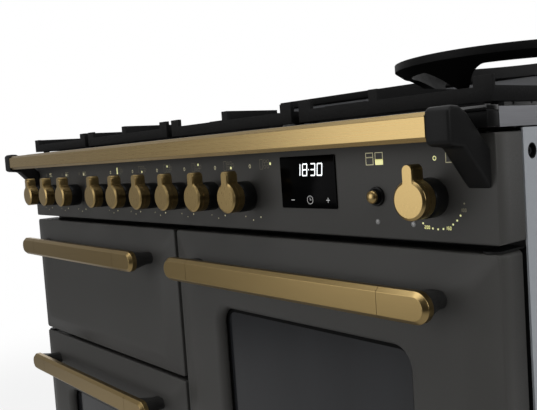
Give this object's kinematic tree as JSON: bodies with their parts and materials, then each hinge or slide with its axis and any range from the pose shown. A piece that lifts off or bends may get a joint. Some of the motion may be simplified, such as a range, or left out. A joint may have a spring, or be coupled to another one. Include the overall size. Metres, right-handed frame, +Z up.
{
  "type": "range cooker",
  "caption": "Freestanding range cooker with side-hung oven doors, drop-down grill door, drawer, lever knobs, handrail, and a hob with pan supports and a wok ring.",
  "frame": {"origin": "on the floor, under the middle of the overall box", "axes": "+X to the right seen from the front, +Y to the back, +Z up"},
  "size_m": [1.095, 0.661, 0.992],
  "materials": {
    "paint": "satin enamel",
    "brass": "brushed",
    "black_metal": "matte",
    "cast_iron": "matte enamel",
    "stainless": "brushed",
    "casing": "satin",
    "galvanised": "plain zinc",
    "enamel": "gloss enamel",
    "chrome_wire": "bright",
    "dark_glass": "tinted",
    "ceramic_glass": "gloss",
    "black_plastic": "gloss",
    "seal_rubber": "matte",
    "mineral_wool": "fibrous",
    "plated_steel": "plain",
    "element_steel": "heat tinted",
    "cast_aluminium": "cast"
  },
  "bodies": {
    "cooker": {"plinth": "paint", "levelling_feet": "plated_steel", "chassis": "galvanised", "side_panels": "casing", "back_panel": "galvanised", "front_frame": "black_metal", "hinge_brackets": "plated_steel", "grill_cavity": "enamel", "left_oven_cavity": "enamel", "right_oven_cavity": "enamel", "oven_insulation": "mineral_wool", "door_seals": "seal_rubber", "oven_racks": "chrome_wire", "grill_pan": "enamel", "heating_elements": "element_steel", "oven_fan": "plated_steel", "drawer_runners": "plated_steel", "control_panel": "paint", "clock_unit": "dark_glass", "panel_fittings": "brass", "gas_rail": "plated_steel", "handrail_bar": "brass", "handrail_brackets": "black_metal", "hob_top": "stainless", "hob_front_rail": "black_metal", "hob_trims": "stainless", "rear_upstand": "stainless", "burner_heads": "cast_aluminium", "burner_caps": "cast_iron", "hot_zone_glass": "ceramic_glass"},
    "grill_door": {"grill_door_panel": "paint", "grill_door_liner": "enamel", "grill_door_handle": "brass"},
    "left_oven_door": {"left_door_panel": "paint", "left_door_glass": "dark_glass", "left_door_liner": "enamel", "left_door_handle": "brass"},
    "right_oven_door": {"right_door_panel": "paint", "right_door_glass": "dark_glass", "right_door_liner": "enamel", "right_door_handle": "brass"},
    "storage_drawer": {"drawer_front": "paint", "drawer_tub": "galvanised", "drawer_handle": "brass"},
    "clock_button": {"push_button": "brass"},
    "pan_support_left": {"pan_support_1": "cast_iron"},
    "pan_support_middle_left": {"pan_support_2": "cast_iron"},
    "pan_support_middle_right": {"pan_support_3": "cast_iron"},
    "pan_support_right": {"pan_support_4": "cast_iron"},
    "wok_ring": {"wok_cradle": "cast_iron"},
    "grill_knob": {"knob_01": "brass"},
    "oven_function_knob": {"knob_02": "brass"},
    "left_oven_knob": {"knob_03": "brass"},
    "hot_zone_knob": {"knob_04": "brass"},
    "middle_left_front_knob": {"knob_05": "brass"},
    "middle_left_rear_knob": {"knob_06": "brass"},
    "middle_right_rear_knob": {"knob_07": "brass"},
    "middle_right_front_knob": {"knob_08": "brass"},
    "wok_burner_knob": {"knob_09": "brass"},
    "right_oven_knob": {"knob_10": "brass"}
  },
  "joints": [
    {"name": "grill_door_hinge", "type": "hinge", "parent": "cooker", "child": "grill_door", "pos_m": [-0.2774, -0.2595, 0.5526], "axis": [1, 0, 0], "range_deg": [0, 90]},
    {"name": "left_oven_door_hinge", "type": "hinge", "parent": "cooker", "child": "left_oven_door", "pos_m": [-0.5324, -0.2595, 0.3166], "axis": [0, 0, -1], "range_deg": [0, 100]},
    {"name": "right_oven_door_hinge", "type": "hinge", "parent": "cooker", "child": "right_oven_door", "pos_m": [0.5324, -0.2595, 0.5526], "axis": [0, 0, 1], "range_deg": [0, 100]},
    {"name": "drawer_slide", "type": "slide", "parent": "cooker", "child": "storage_drawer", "axis": [0, -1, 0], "range_m": [0, 0.35]},
    {"name": "clock_button_push", "type": "slide", "parent": "cooker", "child": "clock_button", "axis": [0, 1, 0], "range_m": [0, 0.004], "stiffness_N_per_m": 400},
    {"name": "grill_knob_turn", "type": "hinge", "parent": "cooker", "child": "grill_knob", "pos_m": [-0.481, -0.2895, 0.8228], "axis": [0, 1, 0], "range_deg": [0, 210]},
    {"name": "oven_function_knob_turn", "type": "hinge", "parent": "cooker", "child": "oven_function_knob", "pos_m": [-0.4034, -0.2895, 0.8228], "axis": [0, 1, 0], "range_deg": [0, 315]},
    {"name": "left_oven_knob_turn", "type": "hinge", "parent": "cooker", "child": "left_oven_knob", "pos_m": [-0.3258, -0.2895, 0.8228], "axis": [0, 1, 0], "range_deg": [0, 250]},
    {"name": "hot_zone_knob_turn", "type": "hinge", "parent": "cooker", "child": "hot_zone_knob", "pos_m": [-0.2003, -0.2895, 0.8228], "axis": [0, 1, 0], "range_deg": [0, 270]},
    {"name": "middle_left_front_knob_turn", "type": "hinge", "parent": "cooker", "child": "middle_left_front_knob", "pos_m": [-0.1227, -0.2895, 0.8228], "axis": [0, -1, 0], "range_deg": [0, 210]},
    {"name": "middle_left_rear_knob_turn", "type": "hinge", "parent": "cooker", "child": "middle_left_rear_knob", "pos_m": [-0.0451, -0.2895, 0.8228], "axis": [0, -1, 0], "range_deg": [0, 210]},
    {"name": "middle_right_rear_knob_turn", "type": "hinge", "parent": "cooker", "child": "middle_right_rear_knob", "pos_m": [0.0325, -0.2895, 0.8228], "axis": [0, -1, 0], "range_deg": [0, 210]},
    {"name": "middle_right_front_knob_turn", "type": "hinge", "parent": "cooker", "child": "middle_right_front_knob", "pos_m": [0.1101, -0.2895, 0.8228], "axis": [0, -1, 0], "range_deg": [0, 210]},
    {"name": "wok_burner_knob_turn", "type": "hinge", "parent": "cooker", "child": "wok_burner_knob", "pos_m": [0.1877, -0.2895, 0.8228], "axis": [0, -1, 0], "range_deg": [0, 210]},
    {"name": "right_oven_knob_turn", "type": "hinge", "parent": "cooker", "child": "right_oven_knob", "pos_m": [0.4782, -0.2895, 0.8228], "axis": [0, 1, 0], "range_deg": [0, 250]},
    {"name": "pan_support_left_lift", "type": "slide", "parent": "cooker", "child": "pan_support_left", "axis": [0, 0, 1], "range_m": [0, 0.15]},
    {"name": "pan_support_middle_left_lift", "type": "slide", "parent": "cooker", "child": "pan_support_middle_left", "axis": [0, 0, 1], "range_m": [0, 0.15]},
    {"name": "pan_support_middle_right_lift", "type": "slide", "parent": "cooker", "child": "pan_support_middle_right", "axis": [0, 0, 1], "range_m": [0, 0.025]},
    {"name": "pan_support_right_lift", "type": "slide", "parent": "cooker", "child": "pan_support_right", "axis": [0, 0, 1], "range_m": [0, 0.15]},
    {"name": "wok_ring_lift", "type": "slide", "parent": "pan_support_right", "child": "wok_ring", "axis": [0, 0, 1], "range_m": [0, 0.15]}
  ]
}
